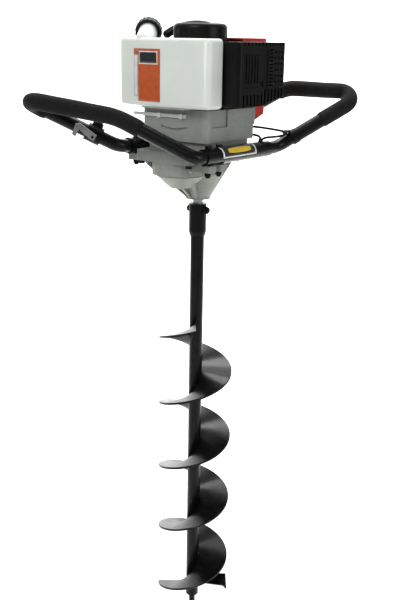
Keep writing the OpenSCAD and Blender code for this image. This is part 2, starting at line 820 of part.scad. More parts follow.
module connecting_rod() {
    big = 10.5;
    small = 8.5;
    color("#a9acae") difference() {
        union() {
            translate([0, crank_r, crank_z - rod_t / 2]) cylinder(r = big, h = rod_t);
            translate([0, piston_y, crank_z - rod_t / 2]) cylinder(r = small, h = rod_t);
            translate([-5, crank_r, crank_z - rod_t / 2 + 1]) cube([10, rod_length, rod_t - 2]);
        }
        translate([0, crank_r, crank_z - rod_t]) cylinder(r = crank_pin_r + slip, h = 2 * rod_t);
        translate([0, piston_y, crank_z - rod_t]) cylinder(r = wrist_r + slip, h = 2 * rod_t);
    }
}

module wrist_pin() {
    l = bore_d - 2;
    color("#d5d7d9") translate([0, piston_y, crank_z - l / 2]) cylinder(r = wrist_r, h = l);
}

module piston() {
    wall = 3.5;
    color("#bfc2c4") difference() {
        translate([0, piston_y - skirt_h, crank_z]) rotate([-90, 0, 0])
            cylinder(r = bore_r - slip, h = skirt_h + crown_h);
        translate([0, piston_y - skirt_h - 1, crank_z]) rotate([-90, 0, 0])
            cylinder(r = bore_r - wall, h = skirt_h + crown_h - 5);
        translate([0, piston_y, crank_z - bore_r - 1]) cylinder(r = wrist_r + slip, h = bore_d + 2);
    }
}

module port(side, r) {
    translate([0, port_y, port_z]) rotate([0, side * 90, 0]) cylinder(r = r, h = port_x - port_t / 2);
}

module plug_line(r, h) {
    translate([0, head_y - 4, crank_z + 8]) rotate([plug_tilt - 90, 0, 0]) cylinder(r = r, h = h);
}

module cylinder_barrel() {
    outer = bore_r + cylinder_wall;
    pitch = (head_y - pad_y - 14) / fins;
    fin_t = 2.2;
    color("#9da09f") difference() {
        union() {
            translate([-30, pad_y, crank_z - 28]) cube([60, 7, 56]);
            translate([0, pad_y, crank_z]) rotate([-90, 0, 0]) cylinder(r = outer, h = head_y + 9 - pad_y);
            for (i = [0 : fins])
                translate([0, fin_y0 + pitch * i, crank_z]) rotate([-90, 0, 0])
                    cylinder(r = fin_r, h = fin_t);
            for (s = [-1, 1]) {
                port(s, 13);
                translate([s * (port_x - port_t / 2) - port_t / 2, port_y - 20, port_z - 15])
                    cube([port_t, 40, 30]);
            }
            plug_line(11, plug_seat);
        }
        translate([0, pad_y - 1, crank_z]) rotate([-90, 0, 0]) cylinder(r = bore_r, h = head_y - pad_y + 1);
        for (s = [-1, 1]) translate([s * bore_r / 2, 0, 0]) port(s, port_r);
        plug_line(plug_r + seat, plug_seat + 1);
        plug_shift(plug_seat) cylinder(r = 13, h = 40);
    }
}

module spark_plug() {
    color("#e4e2da") {
        plug_shift(plug_start) cylinder(r = plug_r, h = plug_seat + 1 - plug_start);
        plug_shift(plug_seat + seat) hex(10, 8);
        plug_shift(plug_seat + 8) cylinder(r = insulator_r, h = 20);
    }
}

module plug_shift(d) {
    translate([0, head_y - 4, crank_z + 8]) rotate([plug_tilt - 90, 0, 0]) translate([0, 0, d]) children();
}

module plug_cap() {
    color("#1c1c1d") plug_shift(plug_seat + 12) difference() {
        cylinder(r = 9, h = 22);
        translate([0, 0, -1]) cylinder(r = insulator_r + slip, h = 17.5);
    }
}

module carburettor() {
    color("#a3a6a4") difference() {
        union() {
            translate([carb_x, port_y - carb_w / 2, port_z - carb_w / 2])
                cube([-port_x - carb_x, carb_w, carb_w]);
            choke_frame() translate([0, 0, -1]) cylinder(r = choke_pin_r, h = 8);
        }
        translate([carb_x - 1, port_y, port_z]) rotate([0, 90, 0]) cylinder(r = port_r, h = carb_w + 20);
    }
}

module choke_frame() {
    translate([choke_x, port_y + carb_w / 2, port_z + 4]) rotate([-90, 0, 0]) children();
}

module choke_lever() {
    reach = 24;
    color("#c9ccce") choke_frame() rotate([0, 0, choke_lean]) translate([0, 0, gap]) difference() {
        union() {
            cylinder(r = 5.5, h = 5);
            translate([-3, -reach, 0]) cube([6, reach, 3]);
            translate([0, -reach, 0]) cylinder(r = 4.5, h = 5);
        }
        translate([0, 0, -1]) cylinder(r = choke_pin_r + slip, h = 8);
    }
}

module air_filter_box() {
    w = 84;
    h = 76;
    d = 40;
    t = 2.5;
    color("#1d1e20") translate([carb_x - d, port_y - w / 2, port_z - h / 2]) difference() {
        cube([d, w, h]);
        translate([t, t, t]) cube([d - 2 * t, w - 2 * t, h - 2 * t]);
        translate([d / 2, w / 2, h / 2]) rotate([0, 90, 0]) cylinder(r = port_r, h = d);
        for (i = [0 : 4]) translate([-1, 14 + i * 12, 12]) cube([t + 2, 5, 26]);
    }
}

module muffler() {
    t = 2;
    l = muffler_y[1] - muffler_y[0];
    h = muffler_z[1] - muffler_z[0];
    w = muffler_x1 - muffler_x0;
    inlet = [20, 46, 26];
    inlet_y = port_y + port_r + 6 - inlet[1];
    inlet_z = port_z - inlet[2] / 2;
    color("#55585a") difference() {
        union() {
            translate([muffler_x0, muffler_y[0], muffler_z[0]]) cube([w, l, h]);
            translate([muffler_x0, inlet_y, inlet_z]) cube(inlet);
            translate([port_x, port_y, port_z]) rotate([0, 90, 0])
                cylinder(r = port_r + 3, h = muffler_x0 - port_x + 1);
        }
        translate([muffler_x0 + t, muffler_y[0] + t, muffler_z[0] + t])
            cube([w - 2 * t, l - 2 * t, h - 2 * t]);
        translate([muffler_x0 + t, inlet_y - 6, inlet_z + t])
            cube([inlet[0] - 2 * t, inlet[1] + 6 - t, inlet[2] - 2 * t]);
        translate([port_x - 1, port_y, port_z]) rotate([0, 90, 0])
            cylinder(r = port_r, h = muffler_x0 - port_x + 6);
        translate([muffler_x1 - 12, muffler_y[0] - 1, muffler_z[0] + 20]) rotate([-90, 0, 0])
            cylinder(r = 6, h = 6);
    }
}

// Cut through the guard's outer face, from its lower near corner
module guard_cut(y, z, w, h, deep) {
    translate([guard_x - deep, guard_y0 + y, guard_z + z]) cube([deep + 1, w, h]);
}

module muffler_guard() {
    x0 = muffler_x0 + 10;
    w = guard_x - x0;
    r = 8;
    panel = [13, 32.5, 74, 65.5];
    panel_deep = 1.4;
    rise = 16;
    rise_y = 64;
    through = guard_t + 1;
    color("#141517") {
        translate([muffler_x1 + seat, guard_screw[0], guard_screw[1]]) rotate([0, 90, 0])
            cylinder(r = 5, h = guard_x + 1 - muffler_x1);
        difference() {
            translate([x0, guard_y0, guard_z]) rounded_box([w, guard_l, guard_h], r);
            translate([x0 - r - 1, guard_y0 + guard_t, guard_z - 1])
                rounded_box([w + r + 1 - guard_t, guard_l - 2 * guard_t, guard_h + 1 - guard_t],
                    r - guard_t);
            guard_cut(panel[0], panel[1], panel[2], panel[3], panel_deep);
            for (i = [0 : 4]) guard_cut(panel[0] + 6 + i * 9, panel[1] + 8, 3, panel[3] - 16, through);
            for (k = [0 : 10]) guard_cut(91, panel[1] + 2 + k * 6.2, 12, 2.4, through);
            for (i = [0 : 2], k = [0 : 5])
                translate([guard_x - through, guard_y0 + 111 + i * 10, guard_z + 42 + k * 10.5])
                    rotate([0, 90, 0]) cylinder(r = 2.6, h = through + 1);
            for (i = [0 : 11]) guard_cut(11 + i * 11, -1, 4.5, i < 6 ? 22 : 31, through);
            for (i = [0 : 11]) guard_cut(11 + i * 11, guard_h - 6, 4.5, 8, through);
            translate([x0 - 1, guard_y0 + rise_y, guard_z]) rotate([atan2(rise, guard_l - rise_y), 0, 0])
                translate([0, 0, -40]) cube([w + 2, guard_l, 40]);
        }
    }
}

module engine_shroud() {
    l = shroud_y1 - shroud_y0;
    h = shroud_z1 - shroud_z0;
    drop = shroud_z0 - tail_z[0];
    color("#b3251c") difference() {
        translate([-shroud_x, shroud_y0, tail_z[0]]) rounded_box([2 * shroud_x, l, h + drop], 12);
        translate([-shroud_x + shroud_t, shroud_y0 - 20, tail_z[0] - 1])
            rounded_box([2 * (shroud_x - shroud_t), l + 20 - shroud_t, h + drop + 1 - shroud_t],
                12 - shroud_t);
        translate([-shroud_x - 1, 0, tail_z[0] - 1]) cube([2 * shroud_x + 2, tail_y[0], drop + 1]);
        translate([-shroud_x - 1, tail_y[1], tail_z[0]])
            rotate([atan2(tail_z[1] - tail_z[0], shroud_y1 - tail_y[1]), 0, 0])
                translate([0, 0, -40]) cube([2 * shroud_x + 2, l, 40]);
        translate([0, 0, shroud_z0 - 1]) cylinder(r = fan_housing_d / 2 + gap, h = h + 2);
        translate([-shroud_x - 1, port_y - carb_w / 2 - 1, port_z - carb_w / 2 - 1])
            cube([shroud_t + 2, carb_w + 2, carb_w + 2]);
        translate([0, port_y, port_z]) rotate([0, 90, 0]) cylinder(r = port_r + 5, h = shroud_x + 10);
    }
    color("#b3251c")
        for (y = [-15, 15])
            translate([port_x + seat, port_y + y, port_z - 10]) rotate([0, 90, 0])
                cylinder(r = 4, h = shroud_x - shroud_t / 2 - port_x);
}

module fan_housing() {
    r = fan_housing_d / 2;
    t = 3;
    color("#17181a") translate([0, 0, fan_z]) difference() {
        ring(r, r - t, fan_h);
        translate([-28, 20, 10]) cube([56, r, 36]);
    }
}

module flywheel() {
    r = flywheel_d / 2;
    vanes = 12;
    color("#a8abad") translate([0, 0, fan_z + 6]) difference() {
        union() {
            cylinder(r = r, h = 18);
            cylinder(r = 15, h = 34);
            for (i = [0 : vanes - 1])
                rotate([0, 0, 360 * i / vanes]) translate([24, -1.5, 17]) cube([r - 25, 3, 14]);
        }
        translate([0, 0, -1]) cylinder(r = journal_r + seat, h = 36);
    }
}

// Recoil starter, in a frame whose Y axis is the pull

module starter_frame() {
    translate([0, 0, starter_z]) rotate([0, 0, pull_angle - 90]) children();
}

module dome_profile(r, h, round) {
    square([r - round, h]);
    square([r, h - round]);
    translate([r - round, h - round]) circle(r = round);
}

module starter_housing() {
    r = starter_d / 2;
    t = starter_t;
    color("#1c1d1f") starter_frame() difference() {
        union() {
            difference() {
                rotate_extrude() dome_profile(r, starter_h, 9);
                translate([0, 0, -1]) rotate_extrude() dome_profile(r - t, starter_h + 1 - t, 6);
            }
            translate([0, 0, reel_z - 1]) cylinder(r = post_r, h = starter_h - reel_z);
            for (a = [0 : 90 : 270])
                rotate([0, 0, a]) translate([r - 4, -6, 0]) cube([9, 12, 4]);
        }
        translate([-reel_r, r / 2, rope_z]) rotate([-90, 0, 0]) cylinder(r = rope_r + 1, h = r);
        for (i = [0 : 11]) rotate([0, 0, 15 + 30 * i]) translate([r - 1.2, -1.5, 5])
            cube([3, 3, starter_h - 16]);
        translate([0, 0, starter_h - 1]) ring(r - 14, r - 17, 2);
        translate([0, 0, starter_h - 1]) ring(15, 12, 2);
    }
}

module starter_reel() {
    flange = reel_r + 5;
    core = reel_r - rope_r - gap;
    color("#2b4a6b") starter_frame() translate([0, 0, reel_z]) difference() {
        union() {
            cylinder(r = flange, h = 3);
            cylinder(r = core, h = reel_h);
            translate([0, 0, reel_h - 3]) cylinder(r = flange, h = 3);
        }
        translate([0, 0, -1]) cylinder(r = post_r + slip, h = reel_h + 2);
        translate([0, 0, reel_h - spring_h]) cylinder(r = spring_r, h = spring_h + 1);
    }
}

module recoil_spring() {
    turns = 4;
    per = 16;
    strip = 0.8;
    pitch = 2.6;
    r0 = post_r + gap;
    n = turns * per;
    inner = [for (i = [0 : n]) polar(r0 + pitch * i / per, 360 * i / per)];
    outer = [for (i = [n : -1 : 0]) polar(r0 + strip + pitch * i / per, 360 * i / per)];
    color("#6d7073") starter_frame() translate([0, 0, reel_z + reel_h - spring_h + gap])
        linear_extrude(spring_h - gap) polygon(concat(inner, outer));
}

module rope_winding() {
    color("#e8e6de") starter_frame() translate([0, 0, rope_z])
        rotate_extrude() translate([reel_r, 0]) circle(r = rope_r);
}

module starter_rope() {
    from = 15;
    color("#e8e6de") starter_frame()
        translate([-reel_r, from, rope_z]) rotate([-90, 0, 0])
            cylinder(r = rope_r, h = handle_y - 2 - from);
}

module pull_handle() {
    r = 8;
    stem_r = 6;
    arch_r = 100;
    arch = 46;
    stem_y = starter_d / 2 - 1;
    color("#161718") starter_frame() difference() {
        union() {
            translate([-reel_r, stem_y, rope_z]) rotate([-90, 0, 0])
                cylinder(r = stem_r, h = handle_y - stem_y);
            translate([-reel_r, handle_y, rope_z + 8]) rotate([90, -handle_tilt, 0])
                translate([0, -arch_r, 0])
                rotate([0, 0, 90 - arch / 2]) {
                    rotate_extrude(angle = arch) translate([arch_r, 0]) circle(r = r);
                    for (a = [0, arch]) rotate([0, 0, a]) translate([arch_r, 0, 0])
                        sphere(r = r + bend_swell);
                }
        }
        translate([-reel_r, 0, rope_z]) rotate([-90, 0, 0]) cylinder(r = rope_r + slip, h = handle_y);
    }
}

// Fuel tank

module tank_form(inset) {
    r = tank_r - inset;
    bulge = 8;
    hull() {
        for (x = [tank_x0 + tank_r, tank_x0 + tank_l - tank_r], y = [tank_y0 + bulge + tank_r,
            tank_y1 - tank_r],
             z = [tank_z + tank_r, tank_z + tank_h - tank_r])
            translate([x, y, z]) sphere(r = r, $fn = 20);
        for (x = [tank_x0 + 0.35 * tank_l, tank_x0 + 0.65 * tank_l], z = [tank_z + tank_r,
            tank_z + tank_h - tank_r])
            translate([x, tank_y0 + tank_r, z]) sphere(r = r, $fn = 20);
    }
}

module neck_frame() {
    translate([neck_x, neck_y, tank_z + tank_h - neck_sink]) rotate([0, 0, neck_turn])
        rotate([0, neck_tilt, 0]) children();
}

module fuel_tank() {
    r = neck_d / 2;
    color([0.9, 0.92, 0.88]) difference() {
        union() {
            tank_form(0);
            neck_frame() {
                sphere(r = r - 0.2);
                cylinder(r = r, h = neck_l);
            }
        }
        tank_form(tank_wall);
        neck_frame() translate([0, 0, -4]) cylinder(r = r - 4, h = neck_l + 5);
    }
}

module fuel_cap() {
    h = 16;
    color("#151617") neck_frame() translate([0, 0, neck_l - 11]) difference() {
        union() {
            cylinder(r = cap_d / 2, h = h);
            for (i = [0 : 17]) rotate([0, 0, 20 * i]) translate([cap_d / 2 - 1, -1.5, 0])
                cube([2.2, 3, h - 1]);
        }
        translate([0, 0, -1]) cylinder(r = neck_d / 2 + gap, h = 12 + gap);
    }
}

module tank_bracket() {
    t = 3;
    shelf = [-60, 100];
    strap = [-94, 126];
    strap_h = 6;
    strap_z = zc + 168;
    front = -housing_w / 2 - gap;
    color("#c9ccce") {
        translate([shelf[0], tank_y0 + 12, tank_z - gap - t]) cube([shelf[1], tank_depth - 14, t]);
        translate([strap[0], front - t, strap_z]) cube([strap[1], t, strap_h]);
        for (x = [-30, 22]) translate([x, front - 1, strap_z + strap_h / 2]) rotate([90, 0, 0])
            hex(5, t + 2);
    }
}

// Handlebar

module bolt_holes(r) {
    for (s = [-1, 1], y = lug_y)
        translate([s * sleeve_x, y, bar_z - 2 * sleeve_d]) cylinder(r = r, h = 4 * sleeve_d);
}

// Way into the front sleeve for both control cables
module cable_hole() {
    translate([sleeve_x, cable_hole_y, bar_z]) cylinder(r = cable_hole_r, h = sleeve_d);
}

module handlebar_right() {
    color("#131415") difference() {
        swept_bar(raised(right_path), right_bends, bar_r, bar_r - bar_wall);
        bolt_holes(handle_bolt_r + seat);
        cable_hole();
    }
}

module handlebar_left() {
    color("#131415") difference() {
        swept_bar(raised(left_path), left_bends, bar_r, bar_r - bar_wall);
        bolt_holes(handle_bolt_r + seat);
    }
}

module handle_sleeves() {
    color("#1a1b1c") difference() {
        for (s = [1, -1])
            translate([s * sleeve_x, s * sleeve_y0, bar_z + side_lift(s)]) rotate([-90 * s, 0, 0])
                ring(sleeve_r, bar_r + slip, sleeve_l);
        bolt_holes(handle_bolt_r + seat);
        cable_hole();
    }
}

module handle_bolts() {
    tail = 10;
    color("#17181a")
        for (s = [-1, 1], y = lug_y) translate([s * sleeve_x, y, lug_z(s)]) {
            translate([0, 0, lug_h + gap + sleeve_d + seat]) hex(6.5, 5);
            translate([0, 0, -tail]) cylinder(r = handle_bolt_r, h = tail + lug_h + gap + sleeve_d + 1);
            translate([0, 0, -seat - 7]) difference() {
                hex(6.5, 7);
                translate([0, 0, -1]) cylinder(r = handle_bolt_r + seat, h = 9);
            }
        }
}

// Part of a path between a share of its first run and a share of its last one
function clipped(p, first, last, from, to) = concat(
    [lerp(p[first], p[first + 1], from)], [for (i = [first + 1 : last]) p[i]], [lerp(p[last],
        p[last + 1], to)]);
function clipped_bends(b, first, last) = concat([0], [for (i = [first + 1 : last]) b[i]], [0]);

module grip(path, bends, ends) {
    color("#202223")
        swept_bar(clipped(raised(path), 1, ends[2], ends[0], ends[1]), clipped_bends(bends, 1, ends[2]),
                  grip_r, bar_r + 2 * bend_swell + slip);
}

module grip_right() { grip(right_path, right_bends, right_grip_ends); }
module grip_left() { grip(left_path, left_bends, left_grip_ends); }

module on_bar(path, i, share) {
    p = raised(path);
    multmatrix(along(lerp(p[i], p[i + 1], share), p[i + 1] - p[i])) children();
}

// Thin sleeve on the front leg of the right loop, with the band that carries the cables at its lower end
module handle_collar() {
    l = norm(right_path[2] - right_path[1]);
    band = (collar_share - clip_share) * l;
    color("#17181a") on_bar(right_path, 1, clip_share) {
        ring(bar_r + 2.5, bar_r + slip, band + 1);
        translate([0, 0, band])
            ring(bar_r + 1.2, bar_r + slip, (right_grip_ends[0] - collar_share) * l - gap);
    }
}

module throttle_housing() {
    switch_w = 12;
    color("#222426") on_bar(left_path, 1, throttle_share) {
        difference() {
            union() {
                cylinder(r = throttle_r, h = throttle_l);
                translate([-switch_w / 2, 0, 5]) cube([switch_w, throttle_r + 6, 20]);
                pivot(pivot_r + 4, throttle_r);
            }
            translate([0, 0, -1]) cylinder(r = bar_r + slip, h = throttle_l + 2);
            translate([-switch_w / 2 + 2 - gap, throttle_r + 2, 7]) cube([switch_w - 4 + 2 * gap, 10, 16]);
        }
        difference() {
            pivot(pivot_r - slip, throttle_r + trigger_w + 3);
            translate([0, 0, -1]) cylinder(r = throttle_r - 2, h = throttle_l + 2);
        }
    }
}

// Pin of the trigger, square to the bar on the inner side of the loop
module pivot(r, h) {
    translate([0, pivot_y, pivot_z]) rotate([0, 90, 0]) cylinder(r = r, h = h);
}

module throttle_trigger() {
    outline = [[-9, 11], [2, 10], [9, 46], [5, 53], [-15, 52], [-17, 44], [-2, 43], [-9, 20]];
    color("#b6bab8") on_bar(left_path, 1, throttle_share) difference() {
        translate([throttle_r + gap, 0, 0]) rotate([90, 0, 90]) linear_extrude(trigger_w) polygon(outline);
        translate([1, 0, 0]) pivot(pivot_r, throttle_r + trigger_w + 3);
    }
}

module stop_switch() {
    w = 8;
    color("#b3251c") on_bar(left_path, 1, throttle_share)
        translate([-w / 2, throttle_r + 2 + gap, 7 + gap]) cube([w, 6, 10]);
}

module control_cables() {
    lift = [0, 0, zc];
    color("#0f1011") {
        cord(smooth([for (p = throttle_route) p + lift], 3), cable_r, 8);
        cord(smooth([for (p = switch_route) p + lift], 3), cable_r, 8);
    }
}

bit_tube();
bit_collar();
flight();
cutters();
pilot_point();
cross_bolt();
output_shaft();
output_gear();
layshaft();
layshaft_gear();
input_pinion();
gear_bearings();
output_seal();
gear_case();
gear_case_cover();
gear_case_bolts();
clutch_drum();
clutch_hub();
clutch_shoe_a();
clutch_shoe_b();
clutch_housing();
crankcase_lower();
crankcase_upper();
crank_bearings();
crankshaft();
crank_pin();
connecting_rod();
wrist_pin();
piston();
cylinder_barrel();
spark_plug();
plug_cap();
carburettor();
choke_lever();
air_filter_box();
muffler();
muffler_guard();
engine_shroud();
fan_housing();
flywheel();
starter_housing();
starter_reel();
recoil_spring();
rope_winding();
starter_rope();
pull_handle();
fuel_tank();
fuel_cap();
tank_bracket();
handlebar_right();
handlebar_left();
handle_sleeves();
handle_bolts();
grip_right();
grip_left();
handle_collar();
throttle_housing();
throttle_trigger();
stop_switch();
control_cables();
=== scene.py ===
"""Looks for the earth auger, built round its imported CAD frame. Metres, +Z up the drilling axis."""

import json
import math
import random

import bmesh
import bpy
from mathutils import Matrix, Vector
from mathutils.bvhtree import BVHTree


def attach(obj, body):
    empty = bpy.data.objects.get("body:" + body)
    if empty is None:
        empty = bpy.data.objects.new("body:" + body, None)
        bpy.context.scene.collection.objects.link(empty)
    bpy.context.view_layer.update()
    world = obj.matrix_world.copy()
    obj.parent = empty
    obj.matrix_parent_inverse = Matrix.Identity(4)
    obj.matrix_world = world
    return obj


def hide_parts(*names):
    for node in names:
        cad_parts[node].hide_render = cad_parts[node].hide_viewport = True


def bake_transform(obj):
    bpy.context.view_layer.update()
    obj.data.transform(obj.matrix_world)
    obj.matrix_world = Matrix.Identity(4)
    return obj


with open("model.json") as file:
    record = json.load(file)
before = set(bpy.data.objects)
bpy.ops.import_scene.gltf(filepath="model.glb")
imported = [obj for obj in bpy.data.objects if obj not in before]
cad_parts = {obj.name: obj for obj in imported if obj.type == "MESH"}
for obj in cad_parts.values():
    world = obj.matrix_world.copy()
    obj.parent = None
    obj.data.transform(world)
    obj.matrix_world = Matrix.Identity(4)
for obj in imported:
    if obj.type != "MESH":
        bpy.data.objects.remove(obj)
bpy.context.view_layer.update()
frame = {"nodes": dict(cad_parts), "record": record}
NODES = frame["nodes"]
MM = 0.001
random.seed(7)

# Heights of the frame, in mm
COLLAR_TOP = 940.0
BAR_Z = COLLAR_TOP + 104
BACK_LIFT = 8
ROOT = "machine"

# Camera fitted to the photograph, in mm and radians, about the drilling axis
VIEW_TURN = math.radians(38)
CAM_DISTANCE = 1694.2
CAM_HEIGHT = COLLAR_TOP + 308.3
CAM_TILT = 0.2898
CAM_YAW = -0.0043
CAM_ROLL = 0.0165
FOCAL_PX = 880.0
PICTURE_H = 600.0
SENSOR_MM = 36.0


def make_camera():
    turn = Matrix.Rotation(VIEW_TURN, 3, "Z")
    ahead = turn @ Vector((
        -math.cos(CAM_TILT) * math.sin(CAM_YAW), math.cos(CAM_TILT) * math.cos(CAM_YAW), -math.sin(CAM_TILT)))
    level = turn @ Vector((math.cos(CAM_YAW), math.sin(CAM_YAW), 0))
    over = level.cross(ahead)
    right = level * math.cos(CAM_ROLL) + over * math.sin(CAM_ROLL)
    up = over * math.cos(CAM_ROLL) - level * math.sin(CAM_ROLL)
    data = bpy.data.cameras.new("photo_camera")
    data.sensor_fit = "VERTICAL"
    data.sensor_height = SENSOR_MM
    data.lens = FOCAL_PX / PICTURE_H * SENSOR_MM
    data.clip_end = 50
    cam = bpy.data.objects.new("photo_camera", data)
    place = turn @ Vector((0, -CAM_DISTANCE * MM, CAM_HEIGHT * MM))
    cam.matrix_world = Matrix((
        (right.x, up.x, -ahead.x, place.x),
        (right.y, up.y, -ahead.y, place.y),
        (right.z, up.z, -ahead.z, place.z),
        (0, 0, 0, 1)))
    bpy.context.scene.collection.objects.link(cam)
    bpy.context.scene.camera = cam


make_camera()


# Materials


class Paint:
    """A principled material whose inputs come from small procedural nodes in object space."""

    def __init__(self, name, **sockets):
        self.mat = bpy.data.materials.new(name)
        self.mat.use_nodes = True
        self.nodes = self.mat.node_tree.nodes
        self.links = self.mat.node_tree.links
        self.bsdf = self.nodes["Principled BSDF"]
        self.where = self.nodes.new("ShaderNodeTexCoord").outputs["Object"]
        self.height = None
        for key, value in sockets.items():
            self.bsdf.inputs[key.replace("_", " ")].default_value = value

    def scaled(self, scale):
        node = self.nodes.new("ShaderNodeMapping")
        node.inputs["Scale"].default_value = scale
        self.links.new(self.where, node.inputs["Vector"])
        return node.outputs["Vector"]

    def noise(self, scale, detail=3.0, rough=0.55, stretch=None):
        node = self.nodes.new("ShaderNodeTexNoise")
        node.inputs["Scale"].default_value = scale
        node.inputs["Detail"].default_value = detail
        node.inputs["Roughness"].default_value = rough
        self.links.new(self.scaled(stretch) if stretch else self.where, node.inputs["Vector"])
        return node.outputs["Fac"]

    def cells(self, scale):
        node = self.nodes.new("ShaderNodeTexVoronoi")
        node.inputs["Scale"].default_value = scale
        self.links.new(self.where, node.inputs["Vector"])
        return node.outputs["Distance"]

    def wave(self, scale, distortion):
        node = self.nodes.new("ShaderNodeTexWave")
        node.bands_direction = "DIAGONAL"
        node.inputs["Scale"].default_value = scale
        node.inputs["Distortion"].default_value = distortion
        self.links.new(self.where, node.inputs["Vector"])
        return node.outputs["Fac"]

    def ramp(self, value, stops):
        node = self.nodes.new("ShaderNodeValToRGB")
        while len(node.color_ramp.elements) < len(stops):
            node.color_ramp.elements.new(0.5)
        for element, (place, colour) in zip(node.color_ramp.elements, stops):
            element.position = place
            element.color = (*colour, 1)
        self.links.new(value, node.inputs["Fac"])
        return node.outputs["Color"]

    def span(self, value, low, high):
        node = self.nodes.new("ShaderNodeMapRange")
        node.inputs["To Min"].default_value = low
        node.inputs["To Max"].default_value = high
        self.links.new(value, node.inputs["Value"])
        return node.outputs["Result"]

    def mixed(self, share, a, b):
        node = self.nodes.new("ShaderNodeMix")
        node.data_type = "RGBA"
        self.links.new(share, node.inputs[0])
        self.links.new(a, node.inputs[6])
        self.links.new(b, node.inputs[7])
        return node.outputs[2]

    def colour(self, output):
        self.links.new(output, self.bsdf.inputs["Base Color"])

    def rough(self, output):
        self.links.new(output, self.bsdf.inputs["Roughness"])

    def bump(self, value, strength, distance):
        node = self.nodes.new("ShaderNodeBump")
        node.inputs["Strength"].default_value = strength
        node.inputs["Distance"].default_value = distance
        self.links.new(value, node.inputs["Height"])
        if self.height is not None:
            self.links.new(self.height, node.inputs["Normal"])
        self.height = node.outputs["Normal"]
        self.links.new(self.height, self.bsdf.inputs["Normal"])


def black_paint(name, low, high, rough, coat):
    p = Paint(name, Coat_Weight=coat, Coat_Roughness=0.12, Specular_IOR_Level=0.16)
    p.colour(p.ramp(p.noise(22, 5, 0.6), [(0.35, (low, low, low * 1.05)), (0.72, (high, high, high * 1.04))]))
    p.rough(p.span(p.noise(55, 4), rough - 0.08, rough + 0.12))
    p.bump(p.noise(420, 2), 0.05, 0.0006)
    return p.mat


def cast_metal(name, low, high):
    p = Paint(name, Metallic=0.25, Specular_IOR_Level=0.45)
    broad = p.ramp(p.noise(14, 5, 0.6), [(0.3, low), (0.7, high)])
    dark = tuple(c * 0.72 for c in low)
    stain = p.ramp(p.noise(130, 4, 0.65), [(0.3, dark), (0.62, high)])
    p.colour(p.mixed(p.span(p.noise(40, 3), 0.05, 0.45), broad, stain))
    p.rough(p.span(p.noise(180, 3), 0.46, 0.66))
    p.bump(p.noise(900, 3, 0.7), 0.22, 0.0007)
    p.bump(p.cells(420), 0.06, 0.0006)
    return p.mat


def plastic(name, low, high, rough, grain=1500.0, depth=0.12, shine=0.38):
    p = Paint(name, Specular_IOR_Level=shine)
    p.colour(p.ramp(p.noise(30, 4, 0.6), [(0.3, low), (0.75, high)]))
    p.rough(p.span(p.noise(70, 3), rough - 0.07, rough + 0.1))
    p.bump(p.noise(grain, 2), depth, 0.0004)
    return p.mat


def steel(name, low, high, rough, stretch):
    p = Paint(name, Metallic=1.0)
    p.colour(p.ramp(p.noise(60, 4), [(0.3, low), (0.7, high)]))
    p.rough(p.span(p.noise(260, 4, 0.6, stretch), rough - 0.08, rough + 0.16))
    p.bump(p.noise(700, 3, 0.6, stretch), 0.08, 0.0004)
    return p.mat


def foam(name):
    p = Paint(name, Sheen_Weight=0.04, Sheen_Roughness=0.6, Specular_IOR_Level=0.14)
    p.colour(p.ramp(p.noise(300, 4, 0.7), [(0.3, (0.004, 0.0045, 0.0043)), (0.75, (0.012, 0.013, 0.0125))]))
    p.rough(p.span(p.noise(120, 3), 0.78, 0.95))
    p.bump(p.cells(1100), 0.28, 0.0007)
    p.bump(p.noise(2200, 3, 0.7), 0.2, 0.0005)
    return p.mat


def tank_plastic(name):
    p = Paint(name, Subsurface_Weight=0.22, Subsurface_Scale=0.012, Specular_IOR_Level=0.45)
    p.bsdf.inputs["Subsurface Radius"].default_value = (1.0, 1.0, 0.9)
    p.colour(p.ramp(p.noise(9, 3, 0.5), [(0.25, (0.7, 0.755, 0.7)), (0.75, (0.82, 0.85, 0.81))]))
    p.rough(p.span(p.noise(40, 3), 0.3, 0.44))
    p.bump(p.noise(600, 3), 0.06, 0.0005)
    p.bump(p.noise(16, 2), 0.1, 0.002)
    return p.mat


def braid(name):
    p = Paint(name, Sheen_Weight=0.3, Specular_IOR_Level=0.3)
    p.colour(p.ramp(p.wave(420, 1.5), [(0.2, (0.5, 0.49, 0.45)), (0.8, (0.8, 0.79, 0.74))]))
    p.rough(p.span(p.noise(200), 0.7, 0.9))
    p.bump(p.wave(420, 1.5), 0.5, 0.0006)
    return p.mat


def label(name, colour):
    worn = tuple(c * 0.82 for c in colour)
    p = Paint(name, Coat_Weight=0.3, Coat_Roughness=0.2)
    p.colour(p.ramp(p.noise(90, 4, 0.6), [(0.28, worn), (0.55, colour)]))
    p.rough(p.span(p.noise(120), 0.29, 0.45))
    p.bump(p.noise(350, 2), 0.05, 0.0003)
    return p.mat


